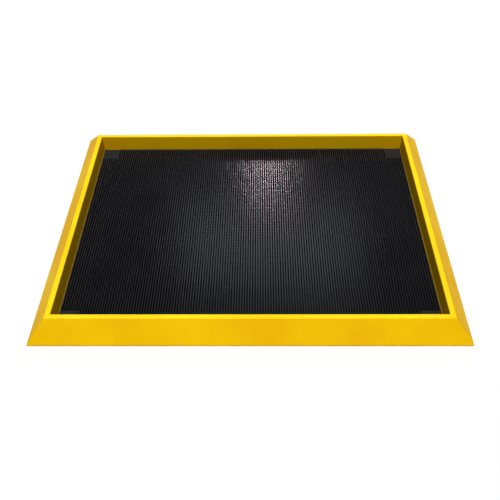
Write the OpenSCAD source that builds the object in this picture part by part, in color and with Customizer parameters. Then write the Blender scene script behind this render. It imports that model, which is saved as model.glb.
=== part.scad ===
// Low-profile spill containment tray with ramped sides, a lift-out scrubber
// mat on its sump floor and stick-on grip pads underneath.
// Frame: origin at floor level under the middle of the tray, +X along the
// length, +Y towards the back, +Z up. All sizes are in millimetres.

/* [Tray] */
// Length of the tray over the feet of its ramps
tray_length = 991; // [600:1:1400]
// Depth of the tray over the feet of its ramps, front to back
tray_depth = 813; // [500:1:1200]
// Height of the rim above the floor that the tray stands on
tray_height = 50; // [36:1:80]
// Wall thickness of the ramps, rim and inner walls
wall = 4; // [3:0.1:6]
// Thickness of the sump floor
floor_thickness = 3; // [2.5:0.1:6]

/* [Ramp and rim] */
// Horizontal run of each ramp, from its foot to the rim
ramp_run = 39; // [25:1:70]
// Upright edge at the foot of each ramp
ramp_lip = 3; // [2:0.5:6]
// Width of the flat top of the rim
rim_width = 12; // [9:0.5:25]
// How far each inner wall leans in from the rim down to the sump floor
wall_draft = 1.5; // [0.5:0.1:4]
// Radius of the edge where the ramp meets its upright foot
lip_radius = 1; // [0.2:0.1:1.5]
// Radius of the edges along both sides of the rim
rim_radius = 2; // [1:0.1:4]
// Radius between the inner walls and the sump floor
sump_radius = 1; // [0.5:0.1:6]

/* [Ribs under the ramps] */
// Thickness of each rib
rib_thickness = 3; // [2:0.1:5]
// Largest distance between neighbouring ribs
rib_spacing = 95; // [60:1:160]
// How far the ribs stop short of the bottom of the tray
rib_setback = 2; // [1:0.5:6]

/* [Grip pads] */
// Diameter of each pad
pad_diameter = 38; // [20:1:60]
// How far the pads stand proud, which lifts the tray off the floor
pad_proud = 1; // [0.5:0.1:3]
// Depth of the moulded seats that the pads are stuck into
pad_seat_depth = 1.5; // [0.5:0.1:2]
// Radial clearance round a pad in its seat
pad_clearance = 0.5; // [0.2:0.1:2]
// Distance from the edge of the sump floor to the middle of the outer pads
pad_inset = 60; // [40:1:120]
// Pads along the length
pads_along = 3; // [2:1:6]
// Pads across the depth
pads_across = 3; // [2:1:5]

/* [Scrubber mat] */
// Thickness of the mat's base sheet
mat_base = 3; // [2:0.1:6]
// Gap between the mat's edge and the radius at the foot of the inner walls
mat_clearance = 0.5; // [0.3:0.1:4]
// Height of the fingers above the base sheet
finger_height = 5; // [3:0.5:12]
// Distance between the middles of neighbouring fingers
finger_pitch = 6.2; // [5:0.1:12]
// Diameter of a finger where it meets the base sheet
finger_root = 3.6; // [2.5:0.1:4.5]
// Diameter of a finger at its tip
finger_tip = 3; // [2:0.1:4]
// Least plain margin between the outer fingers and the mat's edge
mat_margin = 2.5; // [1:0.5:10]
// Side of the plain square in each corner of the mat
corner_square = 48; // [20:1:80]

/* [Hidden] */
// Steps round each moulded radius of the border's section
arc_steps = 6;
pad_facets = 64;
// How far a rib runs into the wall that it joins
embed = 1;
// A cut's overrun past the face that it opens
over = 1;

sump_floor_z = pad_proud + floor_thickness;
wall_x = ramp_run + rim_width + wall_draft;
section_reach = wall_x + sump_radius;
foot_z = pad_proud + ramp_lip;
ramp_angle = atan2(tray_height - foot_z, ramp_run);
wall_lean = wall_draft / (tray_height - sump_floor_z);

sump_length = tray_length - 2 * wall_x;
sump_depth = tray_depth - 2 * wall_x;

mat_gap = sump_radius + mat_clearance;
mat_length = sump_length - 2 * mat_gap;
mat_depth = sump_depth - 2 * mat_gap;
finger_field = [for (side = [mat_length, mat_depth]) side - 2 * mat_margin - finger_root];
columns = floor(finger_field[0] / finger_pitch) + 1;
rows = floor(finger_field[1] / finger_pitch) + 1;
row_length = (rows - 1) * finger_pitch + finger_root;
finger_volume = PI * finger_height * (finger_root ^ 2 + finger_root * finger_tip + finger_tip ^ 2) / 12;
// A ridge holds as much rubber as the column of fingers that it stands for
ridge_width = finger_volume / (finger_height * finger_pitch);

pad_thickness = pad_seat_depth + pad_proud;
pad_count = pads_along * pads_across;

PAD_NODES = [for (i = [1 : pad_count]) str("grip_pad_", i)];

// Points of an outline with each corner rounded to its own radius; a corner
// with radius 0 stays sharp. Corners are [x, z, radius], in order round it.
function rounded(corners) = [
    for (i = [0 : len(corners) - 1])
        let (
            count = len(corners),
            corner = [corners[i][0], corners[i][1]],
            last = [corners[(i + count - 1) % count][0], corners[(i + count - 1) % count][1]],
            next = [corners[(i + 1) % count][0], corners[(i + 1) % count][1]],
            radius = corners[i][2],
            way_back = (last - corner) / norm(last - corner),
            way_on = (next - corner) / norm(next - corner),
            half = acos(way_back * way_on) / 2,
            turn = 180 - 2 * half,
            centre = corner + (way_back + way_on) / norm(way_back + way_on) * radius / sin(half),
            start = corner + way_back * radius / tan(half) - centre,
            end = corner + way_on * radius / tan(half) - centre
        )
        each radius == 0 ? [corner] : [
            for (step = [0 : arc_steps])
                let (share = step / arc_steps)
                centre + (start * sin(turn * (1 - share)) + end * sin(turn * share)) / sin(turn)
        ]
];

// Half section of the border, from the foot of the ramp in to the sump floor
function border_section() = rounded([
    [0, pad_proud, 0],
    [0, foot_z, lip_radius],
    [ramp_run, tray_height, rim_radius],
    [ramp_run + rim_width, tray_height, rim_radius],
    [wall_x, sump_floor_z, sump_radius],
    [section_reach, sump_floor_z, 0],
    [section_reach, pad_proud, 0]
]);

// How far in the back of the ramp and of the inner wall are at height z
function ramp_back(z, thickness) = thickness / sin(ramp_angle) + (z - foot_z) / tan(ramp_angle);
function wall_back(z, thickness) = wall_x - thickness - wall_lean * (z - sump_floor_z);

// The hollow under the ramp and rim, where the walls are this thick
function hollow_section(thickness, bottom) =
    let (roof = tray_height - thickness) [
        [ramp_back(bottom, thickness), bottom],
        [ramp_back(roof, thickness), roof],
        [wall_back(roof, thickness), roof],
        [wall_back(bottom, thickness), bottom]
    ];

// One straight length of border along X with its foot on y = 0, mitred at
// both ends; its section is children(0), with the run inwards along +x.
module mitred_length(length) {
    intersection() {
        rotate([90, 0, 90])
            linear_extrude(length, center = true)
                children();
        linear_extrude(tray_height + over)
            polygon([
                [-length / 2, 0],
                [length / 2, 0],
                [length / 2 - section_reach, section_reach],
                [section_reach - length / 2, section_reach]
            ]);
    }
}

// A section carried round all four sides
module round_border() {
    for (turn = [0, 180])
        rotate(turn)
            translate([0, -tray_depth / 2, 0])
                mitred_length(tray_length)
                    children();
    for (turn = [90, 270])
        rotate(turn)
            translate([0, -tray_length / 2, 0])
                mitred_length(tray_depth)
                    children();
}

// Upright plates across the border: a row down each side, one on each mitre
module rib_plates() {
    for (side = [[tray_length, tray_depth, 0], [tray_depth, tray_length, 90]]) {
        run = side[0] - 2 * section_reach;
        bays = ceil(run / rib_spacing);
        rotate(side[2])
            for (i = [0 : bays])
                translate([-run / 2 + run * i / bays - rib_thickness / 2, -side[1] / 2, 0])
                    cube([rib_thickness, side[1], tray_height]);
    }
    for (x = [-1, 1], y = [-1, 1])
        translate([x * (tray_length / 2 - section_reach), y * (tray_depth / 2 - section_reach), 0])
            rotate(atan2(y, x))
                translate([0, -rib_thickness / 2, 0])
                    cube([section_reach * sqrt(2), rib_thickness, tray_height]);
}

// Middle of pad i, counted along the length and then from front to back
function pad_place(i) =
    let (
        column = i % pads_along,
        row = floor(i / pads_along)
    ) [
        (sump_length / 2 - pad_inset) * (2 * column / (pads_along - 1) - 1),
        (sump_depth / 2 - pad_inset) * (2 * row / (pads_across - 1) - 1)
    ];

module tray() {
    color("gold")
        difference() {
            union() {
                difference() {
                    round_border()
                        polygon(border_section());
                    round_border()
                        polygon(hollow_section(wall, pad_proud - over));
                }
                intersection() {
                    round_border()
                        polygon(hollow_section(wall - embed, pad_proud + rib_setback));
                    rib_plates();
                }
                translate([0, 0, pad_proud + floor_thickness / 2])
                    cube([tray_length - 2 * section_reach, tray_depth - 2 * section_reach, floor_thickness],
                         center = true);
            }
            for (i = [0 : pad_count - 1])
                translate(concat(pad_place(i), pad_proud - over))
                    cylinder(
                        h = pad_seat_depth + over,
                        d = pad_diameter + 2 * pad_clearance,
                        $fn = pad_facets
                    );
        }
}

// Base sheet with a ridge for each column of fingers; the corners are plain
module scrubber_mat() {
    color("dimgray")
        translate([0, 0, sump_floor_z])
            union() {
                translate([-mat_length / 2, -mat_depth / 2, 0])
                    cube([mat_length, mat_depth, mat_base]);
                for (i = [0 : columns - 1])
                    let (
                        x = (i - (columns - 1) / 2) * finger_pitch,
                        plain = abs(x) > mat_length / 2 - corner_square,
                        length = plain ? mat_depth - 2 * corner_square : row_length
                    )
                    translate([x - ridge_width / 2, -length / 2, mat_base - embed])
                        cube([ridge_width, length, finger_height + embed]);
            }
}

module grip_pad(i) {
    color("black")
        translate(concat(pad_place(i), 0))
            cylinder(h = pad_thickness, d = pad_diameter, $fn = pad_facets);
}

tray();
scrubber_mat();
for (i = [0 : pad_count - 1])
    grip_pad(i);
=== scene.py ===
"""A low spill containment tray with ramped sides and a lift-out finger mat.

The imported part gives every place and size. This script builds the visible
tray, mat and grip pads around it, gives each its finish, and lights them in a
plain pale studio.
"""

import logging
import math
from dataclasses import dataclass, field
from enum import Enum
from typing import Any

import bmesh
import bpy
from mathutils import Matrix, Vector

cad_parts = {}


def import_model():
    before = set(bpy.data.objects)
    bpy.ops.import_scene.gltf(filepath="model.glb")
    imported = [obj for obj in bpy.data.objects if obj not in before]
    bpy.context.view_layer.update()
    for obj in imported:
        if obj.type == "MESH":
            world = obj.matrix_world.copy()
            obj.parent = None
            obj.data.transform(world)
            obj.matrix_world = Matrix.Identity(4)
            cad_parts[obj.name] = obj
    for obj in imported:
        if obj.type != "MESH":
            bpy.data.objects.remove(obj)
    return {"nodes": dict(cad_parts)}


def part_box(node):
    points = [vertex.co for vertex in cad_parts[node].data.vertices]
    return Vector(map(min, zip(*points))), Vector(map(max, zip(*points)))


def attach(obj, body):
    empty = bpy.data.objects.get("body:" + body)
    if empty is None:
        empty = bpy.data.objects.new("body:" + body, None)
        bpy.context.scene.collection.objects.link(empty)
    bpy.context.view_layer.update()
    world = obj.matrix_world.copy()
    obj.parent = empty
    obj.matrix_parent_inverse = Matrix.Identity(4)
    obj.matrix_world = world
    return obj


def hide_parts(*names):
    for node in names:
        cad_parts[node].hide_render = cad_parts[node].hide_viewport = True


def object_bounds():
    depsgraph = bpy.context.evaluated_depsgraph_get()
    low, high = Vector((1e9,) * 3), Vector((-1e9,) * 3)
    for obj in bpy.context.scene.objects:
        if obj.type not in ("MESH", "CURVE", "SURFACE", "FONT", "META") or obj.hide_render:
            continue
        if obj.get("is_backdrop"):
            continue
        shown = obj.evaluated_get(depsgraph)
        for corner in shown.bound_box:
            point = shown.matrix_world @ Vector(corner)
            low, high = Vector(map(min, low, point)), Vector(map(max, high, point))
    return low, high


LOG = logging.getLogger("containment_tray")
MM = 0.001
SAME_PLACE = 1e-6
OCTAVE_STRENGTH = 0.55


class Body(Enum):
    """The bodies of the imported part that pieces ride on."""

    TRAY = "tray"
    MAT = "mat"


class Slot(Enum):
    """The material slots that the record names."""

    TRAY_PLASTIC = "tray_plastic"
    MAT_RUBBER = "mat_rubber"
    PAD_RUBBER = "pad_rubber"


# --------------------------------------------------------------------------
# Shader trees
# --------------------------------------------------------------------------


class Signal:
    """An output socket that takes part in sums; each sum adds a Math node."""

    def __init__(self, tree: "ShaderTree", socket: bpy.types.NodeSocket) -> None:
        """Wraps a socket.

        Args:
            tree: The tree that the socket's node belongs to.
            socket: The output to wrap.
        """
        self.tree = tree
        self.socket = socket

    def _math(self, operation: str, *values: "Signal | float") -> "Signal":
        """Adds a Math node.

        Args:
            operation: The Math node's operation.
            values: Its inputs in order.

        Returns:
            The node's result.
        """
        inputs = dict(enumerate(values))
        return self.tree.add("ShaderNodeMath", {"operation": operation}, inputs)

    def __add__(self, other: "Signal | float") -> "Signal":
        """Returns the sum."""
        return self._math("ADD", self, other)

    __radd__ = __add__

    def __rsub__(self, other: float) -> "Signal":
        """Returns a number less this."""
        return self._math("SUBTRACT", other, self)

    def __mul__(self, other: "Signal | float") -> "Signal":
        """Returns the product."""
        return self._math("MULTIPLY", self, other)

    __rmul__ = __mul__

    def between(self, low: float, high: float) -> "Signal":
        """Rises smoothly from 0 to 1.

        Args:
            low: The value that gives 0.
            high: The value that gives 1; it may be below low.

        Returns:
            The eased share of the way from low to high.
        """
        settings = {"interpolation_type": "SMOOTHSTEP"}
        values = {"Value": self, "From Min": low, "From Max": high}
        return self.tree.add("ShaderNodeMapRange", settings, values, "Result")


class ShaderTree:
    """Builds the nodes of one material, or of the world."""

    def __init__(self, owner: bpy.types.Material | bpy.types.World, space: str = "Object") -> None:
        """Clears the owner's nodes.

        Args:
            owner: The material or world.
            space: The texture coordinate that patterns are laid out on.
        """
        self.owner = owner
        owner.use_nodes = True
        self.nodes = owner.node_tree.nodes
        self.links = owner.node_tree.links
        self.nodes.clear()
        self.place = self.add("ShaderNodeTexCoord", {}, {}, space)

    def add(
        self,
        kind: str,
        settings: dict[str, Any],
        values: dict[str | int, Any],
        output: str | int = 0,
    ) -> Signal:
        """Adds a node.

        Args:
            kind: The node's type.
            settings: Its properties, set before the sockets.
            values: A value, colour or Signal for each input, by name or index.
            output: The output to return.

        Returns:
            That output of the new node.
        """
        node = self.nodes.new(kind)
        for name, value in settings.items():
            setattr(node, name, value)
        for name, value in values.items():
            if isinstance(value, Signal):
                self.links.new(value.socket, node.inputs[name])
            else:
                node.inputs[name].default_value = value
        return Signal(self, node.outputs[output] if node.outputs else None)

    def noise(self, scale: float, detail: float = 2.0, stretch: tuple = (1, 1, 1)) -> Signal:
        """Adds noise over the object's own space.

        Args:
            scale: Features per metre.
            detail: Octaves of finer noise.
            stretch: How many times denser the noise is along each axis.

        Returns:
            A value around 0.5.
        """
        place = self.place
        if stretch != (1, 1, 1):
            place = self.add("ShaderNodeMapping", {}, {"Vector": place, "Scale": stretch})
        values = {"Vector": place, "Scale": scale, "Detail": detail, "Roughness": OCTAVE_STRENGTH}
        return self.add("ShaderNodeTexNoise", {}, values, "Fac")

    def height(self) -> Signal:
        """Returns the height above the floor in metres, or how far up a world's direction points."""
        return self.add("ShaderNodeSeparateXYZ", {}, {"Vector": self.place}, "Z")

    def depth(self) -> Signal:
        """Returns how far back a place is in metres."""
        return self.add("ShaderNodeSeparateXYZ", {}, {"Vector": self.place}, "Y")

    def mix(self, factor: Signal, a: Any, b: Any) -> Signal:
        """Blends two colours.

        Args:
            factor: 0 for the first, 1 for the second.
            a: The first colour, or a Signal.
            b: The second colour, or a Signal.

        Returns:
            The blended colour.
        """
        # A Mix node's colour sockets come after its float and vector ones.
        settings = {"data_type": "RGBA", "clamp_factor": True}
        return self.add("ShaderNodeMix", settings, {0: factor, 6: a, 7: b}, 2)

    def bump(self, height: Signal, distance: float, strength: float) -> Signal:
        """Turns a height into a normal.

        Args:
            height: From 0 to 1.
            distance: What a height of 1 stands for, in metres.
            strength: Share of the full effect.

        Returns:
            The bumped normal.
        """
        values = {"Height": height, "Distance": distance, "Strength": strength}
        return self.add("ShaderNodeBump", {}, values, "Normal")

    def surface(self, **values: Any) -> bpy.types.Material:
        """Ends the tree in a Principled shader.

        Args:
            values: Its sockets, with _ for a space in a name.

        Returns:
            The finished material.
        """
        named = {name.replace("_", " "): value for name, value in values.items()}
        shader = self.add("ShaderNodeBsdfPrincipled", {}, named, "BSDF")
        self.add("ShaderNodeOutputMaterial", {}, {"Surface": shader})
        return self.owner


# --------------------------------------------------------------------------
# Finishes
# --------------------------------------------------------------------------


@dataclass(frozen=True)
class Blotches:
    """Noise cut off at both ends, which leaves separate patches."""

    scale: float
    detail: float
    low: float
    high: float
    stretch: tuple = (1, 1, 1)

    def on(self, tree: ShaderTree) -> Signal:
        """Adds the patches to a material.

        Args:
            tree: The material's tree.

        Returns:
            From 0 between the patches to 1 inside them.
        """
        return tree.noise(self.scale, self.detail, self.stretch).between(self.low, self.high)


@dataclass(frozen=True)
class YellowPlastic:
    """Satin moulded polyethylene: mottled, with the rim top painted paler as a painted highlight,
    scuffed, and darker in patches low down.
    """

    colour: tuple = (0.78, 0.465, 0.001, 1)
    deep_colour: tuple = (0.73, 0.405, 0.001, 1)
    # Painted highlight: the colour the rim top is painted, paler than the body.
    rim_highlight_colour: tuple = (0.95, 0.68, 0.012, 1)
    scuff_colour: tuple = (0.86, 0.58, 0.04, 1)
    # Darker brown colour for the patches towards the bottom of the tray.
    low_patches_colour: tuple = (0.45, 0.27, 0.02, 1)
    specular: float = 0.03
    gloss_roughness: float = 0.5
    rim_foot: float = 48.4 * MM
    rim_top: float = 49.6 * MM
    mottle: Blotches = Blotches(5, 3, 0.35, 0.65)
    mottle_roughness: float = 0.05
    rim_highlight_mottle: float = 0.3
    scuffs: Blotches = Blotches(60, 4, 0.6, 0.74, (1, 6, 1))
    scuffed_places: Blotches = Blotches(7, 2, 0.48, 0.62)
    scuff_share: float = 0.35
    scuff_roughness: float = 0.2
    low_patches_top: float = 5 * MM
    low_patches_foot: float = 1 * MM
    low_patches: Blotches = Blotches(35, 3, 0.4, 0.7)
    low_patches_share: float = 0.5
    low_patches_roughness: float = 0.2
    wave_scale: float = 24
    wave_share: float = 0.88
    peel_scale: float = 1100
    peel_share: float = 0.12
    skin_depth: float = 0.6 * MM
    skin_strength: float = 0.25

    def make(self) -> bpy.types.Material:
        """Returns the material."""
        tree = ShaderTree(bpy.data.materials.new("yellow_plastic"))
        mottle = self.mottle.on(tree)
        colour = tree.mix(mottle, self.colour, self.deep_colour)
        # Painted highlight: the rim top is painted paler, a little less where the mottle is deep.
        rim = tree.height().between(self.rim_foot, self.rim_top)
        colour = tree.mix(rim * (1 - mottle * self.rim_highlight_mottle), colour, self.rim_highlight_colour)
        worn = self.scuffs.on(tree) * self.scuffed_places.on(tree)
        colour = tree.mix(worn * self.scuff_share, colour, self.scuff_colour)
        # Darker, rougher patches towards the bottom, in the lowest few millimetres.
        low = tree.height().between(self.low_patches_top, self.low_patches_foot)
        low_patches = low * self.low_patches.on(tree)
        colour = tree.mix(low_patches * self.low_patches_share, colour, self.low_patches_colour)
        worn_roughness = worn * self.scuff_roughness + low_patches * self.low_patches_roughness
        waves = tree.noise(self.wave_scale, 2)
        peel = tree.noise(self.peel_scale, 2)
        skin = peel * self.peel_share + waves * self.wave_share
        return tree.surface(
            Base_Color=colour,
            Roughness=self.gloss_roughness + mottle * self.mottle_roughness + worn_roughness,
            Normal=tree.bump(skin, self.skin_depth, self.skin_strength),
            IOR=1.5,
            Specular_IOR_Level=self.specular,
        )


@dataclass(frozen=True)
class BlackRubber:
    """Moulded rubber, cloudy between a clean and a rubbed shade, with a fine skin.

    Ripple is the height of slow unevenness. Lean is the slope that the surface
    is shaded with, up towards the back, for fingers that don't stand quite straight.
    """

    name: str
    colour: tuple
    rubbed_colour: tuple
    specular: float = 0.1
    roughness: float = 0.55
    clouds: Blotches = Blotches(9, 3, 0.3, 0.7)
    clouding: float = 0.1
    skin_scale: float = 1600
    skin_depth: float = 0.02 * MM
    skin_roughness: float = 0.06
    ripple: float = 0
    ripple_scale: float = 60
    lean: float = 0

    def make(self) -> bpy.types.Material:
        """Returns the material."""
        tree = ShaderTree(bpy.data.materials.new(self.name))
        cloud = self.clouds.on(tree)
        skin = tree.noise(self.skin_scale, 2)
        height = skin * self.skin_depth + tree.noise(self.ripple_scale, 1) * self.ripple
        if self.lean:
            height = height + tree.depth() * self.lean
        return tree.surface(
            Base_Color=tree.mix(cloud, self.colour, self.rubbed_colour),
            Roughness=self.roughness + cloud * self.clouding + skin * self.skin_roughness,
            Normal=tree.bump(height, 1, 1),
            IOR=1.52,
            Specular_IOR_Level=self.specular,
        )


@dataclass(frozen=True)
class StudioFloor:
    """Matt white sweep, very slightly uneven in tone."""

    colour: tuple = (0.86, 0.86, 0.86, 1)
    shade_colour: tuple = (0.84, 0.84, 0.84, 1)
    cloud_scale: float = 0.8
    roughness: float = 0.8

    def make(self) -> bpy.types.Material:
        """Returns the material."""
        tree = ShaderTree(bpy.data.materials.new("studio_floor"))
        cloud = tree.noise(self.cloud_scale, 2)
        return tree.surface(
            Base_Color=tree.mix(cloud, self.colour, self.shade_colour),
            Roughness=self.roughness,
        )


# --------------------------------------------------------------------------
# Mesh helpers
# --------------------------------------------------------------------------


def ring(bm: bmesh.types.BMesh, face: bmesh.types.BMFace, inset: float, rise: float) -> None:
    """Insets a face and then moves the inner face up or down.

    Args:
        bm: The mesh.
        face: The face, which stays the inner one.
        inset: How far in the new ring of faces runs.
        rise: How far up the inner face then moves.
    """
    bmesh.ops.inset_region(bm, faces=[face], thickness=inset, use_even_offset=True)
    bmesh.ops.translate(bm, verts=face.verts, vec=(0, 0, rise))


def finish_piece(
    bm: bmesh.types.BMesh,
    name: str,
    body: Body,
    materials: list[bpy.types.Material],
    stands_for: str,
) -> bpy.types.Object:
    """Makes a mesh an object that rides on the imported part.

    Args:
        bm: The mesh, which is freed.
        name: The piece's name.
        body: The body that it rides on.
        materials: Its materials, in the order of the faces' indices.
        stands_for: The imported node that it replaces.

    Returns:
        The piece.
    """
    for face in bm.faces:
        face.smooth = True
    mesh = bpy.data.meshes.new(name)
    bm.to_mesh(mesh)
    bm.free()
    for material in materials:
        mesh.materials.append(material)
    piece = bpy.data.objects.new(name, mesh)
    bpy.context.scene.collection.objects.link(piece)
    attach(piece, body.value)
    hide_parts(stands_for)
    LOG.info("%s: %d faces on body %s", name, len(mesh.polygons), body.value)
    return piece


def level(edge: bmesh.types.BMEdge, z: float) -> bool:
    """Tells whether an edge lies at one height.

    Args:
        edge: The edge.
        z: The height in metres.

    Returns:
        True when both ends are there.
    """
    return all(abs(vert.co.z - z) < SAME_PLACE for vert in edge.verts)


# --------------------------------------------------------------------------
# The tray
# --------------------------------------------------------------------------


@dataclass
class Tray:
    """The yellow moulding: ramps, rim, inner walls, sump floor and ribs."""

    low: Vector
    high: Vector
    pad_places: list[Vector]
    pad_radius: float
    ramp_run: float = 39 * MM
    ramp_lip: float = 3 * MM
    rim_width: float = 12 * MM
    wall_draft: float = 1.5 * MM
    wall: float = 4 * MM
    floor: float = 3 * MM
    rim_radius: float = 2 * MM
    lip_radius: float = 1 * MM
    sump_radius: float = 1 * MM
    hip_radius: float = 2.5 * MM
    corner_radius: float = 4 * MM
    foot_radius: float = 0.4 * MM
    rib_thickness: float = 3 * MM
    rib_spacing: float = 95 * MM
    rib_setback: float = 2 * MM
    rib_embed: float = 1 * MM
    seat_depth: float = 1.5 * MM
    seat_clearance: float = 0.5 * MM
    seat_steps: int = 16
    flat_below: float = math.radians(5)
    smooth_below: float = math.radians(20)
    radius_steps: int = 4

    @property
    def foot_z(self) -> float:
        """Height at which the ramp starts, above its upright lip."""
        return self.low.z + self.ramp_lip

    @property
    def sump_z(self) -> float:
        """Height of the sump floor."""
        return self.low.z + self.floor

    @property
    def wall_x(self) -> float:
        """How far in from the tray's edge the sump floor starts."""
        return self.ramp_run + self.rim_width + self.wall_draft

    def ramp_back(self, z: float, thickness: float) -> float:
        """Finds the back of the ramp's skin.

        Args:
            z: The height.
            thickness: The skin's thickness.

        Returns:
            How far in from the tray's edge the back of the skin is.
        """
        angle = math.atan2(self.high.z - self.foot_z, self.ramp_run)
        return thickness / math.sin(angle) + (z - self.foot_z) / math.tan(angle)

    def wall_back(self, z: float, thickness: float) -> float:
        """Finds the back of the inner wall.

        Args:
            z: The height.
            thickness: The wall's thickness.

        Returns:
            How far in from the tray's edge the back of the wall is.
        """
        lean = self.wall_draft / (self.high.z - self.sump_z)
        return self.wall_x - thickness - lean * (z - self.sump_z)

    def shell(self) -> bmesh.types.BMesh:
        """Makes the closed moulding by insetting the two faces of a slab.

        Returns:
            The mesh, with sharp edges and no ribs.
        """
        bm = bmesh.new()
        bmesh.ops.create_grid(bm, x_segments=1, y_segments=1, size=0.5)
        size = self.high - self.low
        bmesh.ops.scale(bm, verts=bm.verts, vec=(size.x, size.y, 1))
        bmesh.ops.translate(bm, verts=bm.verts, vec=(0, 0, self.low.z))
        grown = bmesh.ops.extrude_face_region(bm, geom=bm.faces[:])
        upper = [item for item in grown["geom"] if isinstance(item, bmesh.types.BMVert)]
        bmesh.ops.translate(bm, verts=upper, vec=(0, 0, self.ramp_lip))
        bmesh.ops.recalc_face_normals(bm, faces=bm.faces)
        flat = [face for face in bm.faces if abs(face.normal.z) > 0.5]
        bottom, top = sorted(flat, key=lambda face: face.normal.z)
        ring(bm, top, self.ramp_run, self.high.z - self.foot_z)
        ring(bm, top, self.rim_width, 0)
        ring(bm, top, self.wall_draft, self.sump_z - self.high.z)
        roof = self.high.z - self.wall
        foot = self.low.z
        steps = [
            (self.ramp_back(foot, self.wall), 0),
            (self.ramp_back(roof, self.wall), roof - foot),
            (self.wall_back(roof, self.wall), 0),
            (self.wall_back(foot, self.wall), foot - roof),
        ]
        reached = 0
        for reach, rise in steps:
            ring(bm, bottom, reach - reached, rise)
            reached = reach
        self.sink_seats(bm, bottom)
        return bm

    def sink_seats(self, bm: bmesh.types.BMesh, bottom: bmesh.types.BMFace) -> None:
        """Sinks a round seat for each pad into the underside of the floor.

        Args:
            bm: The mesh.
            bottom: The underside of the sump floor.
        """
        cells = [bottom]
        for axis in (0, 1):
            places = sorted({round(place[axis], 6) for place in self.pad_places})
            normal = Vector((axis == 0, axis == 1, 0))
            for one, other in zip(places, places[1:]):
                parts = dict.fromkeys(part for cell in cells for part in (*cell.edges, *cell.verts))
                between = normal * (one + other) / 2
                cut = bmesh.ops.bisect_plane(bm, geom=[*cells, *parts], plane_co=between, plane_no=normal)
                cells = [item for item in cut["geom"] if isinstance(item, bmesh.types.BMFace)]
        radius = self.pad_radius + self.seat_clearance
        for cell in cells:
            centre = min(self.pad_places, key=lambda place: (place - cell.calc_center_median()).xy.length)
            bmesh.ops.inset_individual(bm, faces=[cell], thickness=radius, use_even_offset=True)
            middle = cell.calc_center_median()
            for vert in cell.verts:
                side = (vert.co - middle).to_2d()
                vert.co.x = centre.x + math.copysign(radius, side.x)
                vert.co.y = centre.y + math.copysign(radius, side.y)
            bmesh.ops.subdivide_edges(bm, edges=cell.edges, cuts=self.seat_steps - 1)
            for vert in cell.verts:
                side = (vert.co.xy - centre.xy).normalized() * radius
                vert.co.xy = centre.xy + side
            bmesh.ops.inset_region(bm, faces=[cell], thickness=self.foot_radius)
            bmesh.ops.translate(bm, verts=cell.verts, vec=(0, 0, self.seat_depth))

    def add_ribs(self, bm: bmesh.types.BMesh) -> None:
        """Adds the upright ribs under the ramps, a row down each side and one on each mitre.

        Args:
            bm: The mesh.
        """
        size = self.high - self.low
        reach = self.wall_x + self.sump_radius
        sides = [(size.x, size.y, 0), (size.y, size.x, 90), (size.x, size.y, 180), (size.y, size.x, 270)]
        for length, across, turn in sides:
            run = length - 2 * reach
            bays = math.ceil(run / self.rib_spacing)
            turned = Matrix.Rotation(math.radians(turn), 4, "Z")
            for i in range(bays + 1):
                place = Matrix.Translation((-run / 2 + run * i / bays, -across / 2, 0))
                self.add_rib(bm, turned @ place, 1)
            corner = Matrix.Translation((-length / 2, -across / 2, 0))
            self.add_rib(bm, turned @ corner @ Matrix.Rotation(math.radians(-45), 4, "Z"), math.sqrt(2))

    def add_rib(self, bm: bmesh.types.BMesh, place: Matrix, stretch: float) -> None:
        """Adds one rib, which runs a little way into the walls round it.

        Args:
            bm: The mesh.
            place: Turns and moves a rib that runs along +Y from the tray's edge.
            stretch: How much longer than the border's section it is.
        """
        skin = self.wall - self.rib_embed
        bottom = self.low.z + self.rib_setback
        roof = self.high.z - skin
        outline = [
            (self.ramp_back(bottom, skin), bottom),
            (self.ramp_back(roof, skin), roof),
            (self.wall_back(roof, skin), roof),
            (self.wall_back(bottom, skin), bottom),
        ]
        verts = [bm.verts.new((-self.rib_thickness / 2, y * stretch, z)) for y, z in outline]
        face = bm.faces.new(verts)
        grown = bmesh.ops.extrude_face_region(bm, geom=[face])
        far = [item for item in grown["geom"] if isinstance(item, bmesh.types.BMVert)]
        bmesh.ops.translate(bm, verts=far, vec=(self.rib_thickness, 0, 0))
        bmesh.ops.transform(bm, matrix=place, verts=verts + far)
        shell = list({f for vert in verts + far for f in vert.link_faces})
        bmesh.ops.recalc_face_normals(bm, faces=shell)
        for side in shell:
            for edge in side.edges:
                edge.smooth = False

    def radius_of(self, edge: bmesh.types.BMEdge) -> float:
        """Finds the radius that the mould gives an edge.

        Args:
            edge: An edge of the sharp moulding.

        Returns:
            The radius, or 0 for an edge that stays sharp.
        """
        if edge.calc_face_angle(0) < self.flat_below:
            return 0
        ends = sorted(vert.co.z for vert in edge.verts)
        at_foot = abs(ends[0] - self.foot_z) < SAME_PLACE
        at_rim = abs(ends[1] - self.high.z) < SAME_PLACE
        at_sump = abs(ends[0] - self.sump_z) < SAME_PLACE
        if at_rim and level(edge, self.high.z):
            return self.rim_radius
        if at_foot and at_rim:
            return self.hip_radius
        if at_sump and at_rim:
            return self.corner_radius
        if level(edge, self.sump_z):
            return self.sump_radius
        if level(edge, self.foot_z):
            return self.lip_radius
        return 0

    def build(self, material: bpy.types.Material) -> bpy.types.Object:
        """Makes the piece.

        Args:
            material: The yellow plastic.

        Returns:
            The tray.
        """
        bm = self.shell()
        weights = bm.edges.layers.float.new("bevel_weight_edge")
        widest = max(self.rim_radius, self.sump_radius, self.corner_radius)
        for edge in bm.edges:
            radius = self.radius_of(edge)
            edge[weights] = radius / widest
            edge.smooth = radius > 0 or edge.calc_face_angle(0) < self.smooth_below
        self.add_ribs(bm)
        piece = finish_piece(bm, "tray_moulding", Body.TRAY, [material], "tray")
        bevel = piece.modifiers.new("moulded_radii", "BEVEL")
        bevel.limit_method = "WEIGHT"
        bevel.width = widest
        bevel.segments = self.radius_steps
        bevel.harden_normals = True
        return piece


# --------------------------------------------------------------------------
# The mat and the grip pads
# --------------------------------------------------------------------------


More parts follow.
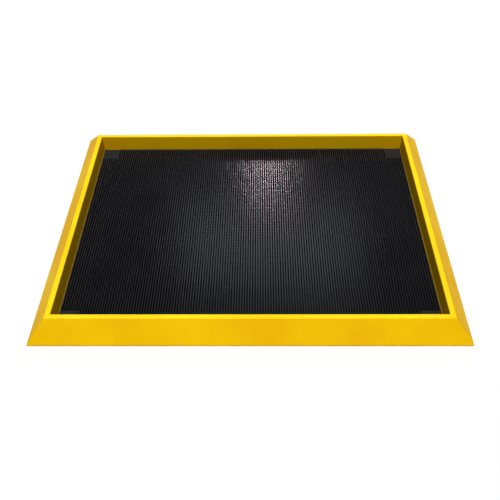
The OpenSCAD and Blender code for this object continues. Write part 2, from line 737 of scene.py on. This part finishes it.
@dataclass
class ScrubberMat:
    """The black rubber mat: a base sheet and a square grid of fingers."""

    low: Vector
    high: Vector
    base: float = 3 * MM
    pitch: float = 6.2 * MM
    root: float = 3.6 * MM
    tip: float = 3.0 * MM
    tip_radius: float = 0.25 * MM
    least_margin: float = 2.5 * MM
    corner_square: float = 48 * MM
    edge_radius: float = 0.8 * MM
    sunk: float = 0.2 * MM
    edge_steps: int = 3
    smooth_below: float = math.radians(65)
    sides: int = 6
    bands: int = 3
    # Painted shade: the fingers' sides are painted darker than the bare rubber and the tips.
    sides_shade_finish: BlackRubber = BlackRubber(
        "mat_rubber", (0.004, 0.004, 0.0045, 1), (0.007, 0.007, 0.0078, 1)
    )
    # Painted highlight: the finger tips are painted about ten times lighter than the fingers' sides.
    tips_highlight_finish: BlackRubber = BlackRubber(
        "finger_tips_highlight",
        (0.038, 0.038, 0.043, 1),
        (0.042, 0.042, 0.047, 1),
        specular=1,
        roughness=0.15,
        clouding=0.02,
        ripple=0.7 * MM,
        lean=-0.068,
    )
    # Painted shade: the sheet between the fingers is painted near black, with no specular, for the shade
    # in the narrow gaps.
    gaps_shade_finish: BlackRubber = BlackRubber(
        "shaded_rubber",
        (0.0008, 0.0008, 0.0009, 1),
        (0.0012, 0.0012, 0.0013, 1),
        specular=0,
        roughness=0.8,
    )
    bare_finish: BlackRubber = BlackRubber(
        "bare_rubber", (0.012, 0.012, 0.013, 1), (0.02, 0.02, 0.021, 1)
    )

    def middles(self, axis: int) -> list[float]:
        """Lists the middles of the fingers along one axis.

        Args:
            axis: 0 along the length, 1 across the depth.

        Returns:
            Their places, evenly either side of 0.
        """
        span = self.high[axis] - self.low[axis] - 2 * self.least_margin - self.root
        count = math.floor(span / self.pitch) + 1
        return [(i - (count - 1) / 2) * self.pitch for i in range(count)]

    def sheet(self) -> bmesh.types.BMesh:
        """Makes the base sheet with softened upper edges.

        Returns:
            The mesh, whose faces under the fingers have index 0, painted as shade, and index 1 where no
            fingers stand.
        """
        bm = bmesh.new()
        size = self.high - self.low
        bmesh.ops.create_cube(bm, size=1)
        bmesh.ops.scale(bm, verts=bm.verts, vec=(size.x, size.y, self.base))
        bmesh.ops.translate(bm, verts=bm.verts, vec=(0, 0, self.low.z + self.base / 2))
        upper = [edge for edge in bm.edges if level(edge, self.low.z + self.base)]
        bmesh.ops.bevel(
            bm,
            geom=upper,
            affect="EDGES",
            offset=self.edge_radius,
            segments=self.edge_steps,
            profile=0.5,
            material=-1,
        )
        field_end = [self.middles(axis)[-1] + self.root / 2 for axis in (0, 1)]
        square_start = [self.high[axis] - self.corner_square for axis in (0, 1)]
        for axis, normal in enumerate((Vector((1, 0, 0)), Vector((0, 1, 0)))):
            for distance in (field_end[axis], square_start[axis]):
                for side in (-1, 1):
                    geom = bm.verts[:] + bm.edges[:] + bm.faces[:]
                    place = normal * side * distance
                    bmesh.ops.bisect_plane(bm, geom=geom, plane_co=place, plane_no=normal)
        for face in bm.faces:
            x, y = (abs(value) for value in face.calc_center_median().xy)
            in_margin = x > field_end[0] or y > field_end[1]
            in_corner = x > square_start[0] and y > square_start[1]
            face.material_index = int(in_margin or in_corner)
        return bm

    def fingers(self, columns: list[float], rows: list[float]) -> bmesh.types.BMesh:
        """Makes one field of fingers.

        Args:
            columns: Middles of its columns.
            rows: Middles of its rows.

        Returns:
            The mesh, in which each finger is a closed tapered post whose tip has index 1.
        """
        bm = bmesh.new()
        foot = self.low.z + self.base - self.sunk
        height = self.high.z - foot
        bmesh.ops.create_cone(
            bm,
            cap_ends=True,
            segments=self.sides,
            radius1=self.root / 2,
            radius2=self.tip / 2,
            depth=height,
            matrix=Matrix.Translation((columns[0], rows[0], foot + height / 2)),
        )
        tip = [edge for edge in bm.edges if level(edge, self.high.z)]
        bmesh.ops.bevel(
            bm, geom=tip, affect="EDGES", offset=self.tip_radius, segments=1, profile=0.5, material=-1
        )
        for face in bm.faces:
            face.material_index = int(face.calc_center_median().z > self.high.z - self.tip_radius)
        for edge in bm.edges:
            edge.smooth = edge.calc_face_angle(0) < self.smooth_below and not level(edge, self.high.z)
        for middles, step in ((rows, (0, self.pitch, 0)), (columns, (self.pitch, 0, 0))):
            bmesh.ops.spin(
                bm,
                geom=bm.verts[:] + bm.edges[:] + bm.faces[:],
                cent=(0, 0, 0),
                axis=(0, 0, 1),
                angle=0,
                dvec=step,
                steps=len(middles) - 1,
                use_duplicate=True,
            )
        return bm

    def build(self) -> list[bpy.types.Object]:
        """Makes the mat's pieces, all on the mat's body.

        Returns:
            The sheet and the fields of fingers.
        """
        on_sheet = [self.gaps_shade_finish.make(), self.bare_finish.make()]
        on_fingers = [self.sides_shade_finish.make(), self.tips_highlight_finish.make()]
        columns, rows = self.middles(0), self.middles(1)
        short_rows = [y for y in rows if abs(y) <= self.high.y - self.corner_square]
        inner = [x for x in columns if abs(x) <= self.high.x - self.corner_square]
        share = math.ceil(len(inner) / self.bands)
        fields = {
            "fingers_left": ([x for x in columns if x < inner[0]], short_rows),
            "fingers_right": ([x for x in columns if x > inner[-1]], short_rows),
        }
        for i in range(self.bands):
            fields[f"fingers_{i + 1}"] = (inner[i * share : (i + 1) * share], rows)
        pieces = [("mat_sheet", self.sheet(), on_sheet)]
        for name, (across, along) in fields.items():
            pieces.append((name, self.fingers(across, along), on_fingers))
        return [
            finish_piece(bm, name, Body.MAT, materials, "scrubber_mat")
            for name, bm, materials in pieces
        ]


@dataclass
class GripPad:
    """A round rubber pad, stuck in its seat, with a ringed tread below."""

    node: str
    low: Vector
    high: Vector
    edge_radius: float = 0.4 * MM
    groove_depth: float = 0.6 * MM
    land: float = 3.4 * MM
    groove: float = 1.6 * MM
    grooves: int = 3
    facets: int = 64
    edge_steps: int = 2
    corner_above: float = math.radians(57)
    smooth_below: float = math.radians(35)

    def build(self, material: bpy.types.Material) -> bpy.types.Object:
        """Makes the piece.

        Args:
            material: The pad's rubber.

        Returns:
            The pad.
        """
        bm = bmesh.new()
        radius = (self.high.x - self.low.x) / 2
        middle = (self.low + self.high) / 2
        bmesh.ops.create_cone(
            bm,
            cap_ends=True,
            segments=self.facets,
            radius1=radius,
            radius2=radius,
            depth=self.high.z - self.low.z,
            matrix=Matrix.Translation(middle),
        )
        bm.normal_update()
        tread = min(bm.faces, key=lambda face: face.normal.z)
        for _ in range(self.grooves):
            ring(bm, tread, self.land, 0)
            ring(bm, tread, self.edge_radius, self.groove_depth)
            ring(bm, tread, self.groove, 0)
            ring(bm, tread, self.edge_radius, -self.groove_depth)
        lowest = [edge for edge in bm.edges if level(edge, self.low.z)]
        rim = [edge for edge in lowest if edge.calc_face_angle(0) > self.corner_above]
        bmesh.ops.bevel(
            bm,
            geom=rim,
            affect="EDGES",
            offset=self.edge_radius,
            segments=self.edge_steps,
            profile=0.5,
            material=-1,
        )
        for edge in bm.edges:
            edge.smooth = edge.calc_face_angle(0) < self.smooth_below
        return finish_piece(bm, f"{self.node}_tread", Body.TRAY, [material], self.node)


# --------------------------------------------------------------------------
# The studio
# --------------------------------------------------------------------------


@dataclass(frozen=True)
class Softbox:
    """A rectangular light that faces a point."""

    name: str
    place: tuple
    size: tuple
    watts: float
    target: tuple = (0, 0, 0)
    colour: tuple = (1, 1, 1)

    def build(self) -> bpy.types.Object:
        """Returns the light."""
        data = bpy.data.lights.new(self.name, "AREA")
        data.shape = "RECTANGLE"
        data.size, data.size_y = self.size
        data.energy = self.watts
        data.color = self.colour
        light = bpy.data.objects.new(self.name, data)
        light.location = self.place
        aim = Vector(self.target) - Vector(self.place)
        light.rotation_euler = aim.to_track_quat("-Z", "Y").to_euler()
        bpy.context.scene.collection.objects.link(light)
        return light


@dataclass(frozen=True)
class FarLight:
    """A very large, far softbox, which lights the whole floor evenly."""

    name: str
    place: tuple
    strength: float
    spread: float = math.radians(20)

    def build(self) -> bpy.types.Object:
        """Returns the light."""
        data = bpy.data.lights.new(self.name, "SUN")
        data.energy = self.strength
        data.angle = self.spread
        light = bpy.data.objects.new(self.name, data)
        light.location = self.place
        light.rotation_euler = (-Vector(self.place)).to_track_quat("-Z", "Y").to_euler()
        bpy.context.scene.collection.objects.link(light)
        return light


@dataclass
class Studio:
    """Floor, lights and camera round a tray of a given length."""

    length: float
    floor_size: float = 14
    lens: float = 51.24
    camera_place: tuple = (0.026, -1.4421, 1.2286)
    pitch: float = math.radians(42.26)
    yaw: float = -0.0203
    roll: float = -0.0157
    dome: float = 0.03
    horizon: float = 1.0
    horizon_top: float = 0.09
    horizon_foot: float = 0.02
    lights: list[Softbox | FarLight] = field(
        default_factory=lambda: [
            FarLight("overhead_light", (0.1, 0, 3), 1.6),
            FarLight("front_light", (0, -1.3, 2.7), 2.1),
            Softbox("rear_softbox", (0.075, 2.95, 1.42), (0.28, 0.22), 8.5, (0, 0.2, 0), (1, 0.88, 0.95)),
            Softbox("high_softbox", (0.07, 2.4, 1.7), (1.2, 0.5), 7.6, (0, -0.1, 0), (0.84, 0.9, 1)),
        ]
    )

    def camera(self) -> bpy.types.Object:
        """Places the camera by its lens, place and three turns.

        Returns:
            The camera, made the scene's own.
        """
        data = bpy.data.cameras.new("studio_camera")
        data.lens = self.lens
        camera = bpy.data.objects.new("studio_camera", data)
        right = Vector((math.cos(self.yaw), -math.sin(self.yaw), 0))
        level_ahead = Vector((math.sin(self.yaw), math.cos(self.yaw), 0))
        ahead = level_ahead * math.cos(self.pitch) - Vector((0, 0, math.sin(self.pitch)))
        up = right.cross(ahead)
        rolled_right = right * math.cos(self.roll) + up * math.sin(self.roll)
        rolled_up = up * math.cos(self.roll) - right * math.sin(self.roll)
        turn = Matrix((rolled_right, rolled_up, -ahead)).transposed()
        camera.matrix_world = Matrix.Translation(Vector(self.camera_place) * self.length) @ turn.to_4x4()
        bpy.context.scene.collection.objects.link(camera)
        bpy.context.scene.camera = camera
        return camera

    def floor(self) -> bpy.types.Object:
        """Returns the floor, which isn't part of the object."""
        bm = bmesh.new()
        bmesh.ops.create_grid(bm, x_segments=1, y_segments=1, size=self.floor_size / 2)
        mesh = bpy.data.meshes.new("studio_floor")
        bm.to_mesh(mesh)
        bm.free()
        mesh.materials.append(StudioFloor().make())
        floor = bpy.data.objects.new("studio_floor", mesh)
        bpy.context.scene.collection.objects.link(floor)
        floor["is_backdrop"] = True
        return floor

    def world(self) -> bpy.types.World:
        """Makes a dim dome with a white band along the horizon.

        Returns:
            The world, made the scene's own.
        """
        world = bpy.data.worlds.new("studio_world")
        tree = ShaderTree(world, "Generated")
        band = tree.height().between(self.horizon_top, self.horizon_foot)
        strength = band * (self.horizon - self.dome) + self.dome
        sky = tree.add("ShaderNodeBackground", {}, {"Color": (1, 1, 1, 1), "Strength": strength})
        tree.add("ShaderNodeOutputWorld", {}, {"Surface": sky})
        bpy.context.scene.world = world
        return world

    def build(self) -> None:
        """Makes the floor, the lights, the world and the camera."""
        bpy.context.scene.view_settings.view_transform = "Standard"
        self.world()
        self.floor()
        for light in self.lights:
            light.build()
        self.camera()


def main() -> None:
    """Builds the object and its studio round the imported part."""
    logging.basicConfig(level=logging.INFO, format="%(name)s: %(message)s")
    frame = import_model()
    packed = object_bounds()
    pads = [node for node in sorted(frame["nodes"]) if node.startswith("grip_pad")]
    pad_boxes = [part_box(node) for node in pads]
    pad_places = [(low + high) / 2 for low, high in pad_boxes]
    pad_radius = (pad_boxes[0][1].x - pad_boxes[0][0].x) / 2

    Tray(*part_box("tray"), pad_places, pad_radius).build(YellowPlastic().make())
    ScrubberMat(*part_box("scrubber_mat")).build()
    pad_rubber = BlackRubber(
        "pad_rubber", (0.012, 0.012, 0.012, 1), (0.03, 0.03, 0.029, 1), specular=0.4
    ).make()
    for node, (low, high) in zip(pads, pad_boxes, strict=True):
        GripPad(node, low, high).build(pad_rubber)
    Studio(packed[1].x - packed[0].x).build()


if __name__ == "__main__":
    main()
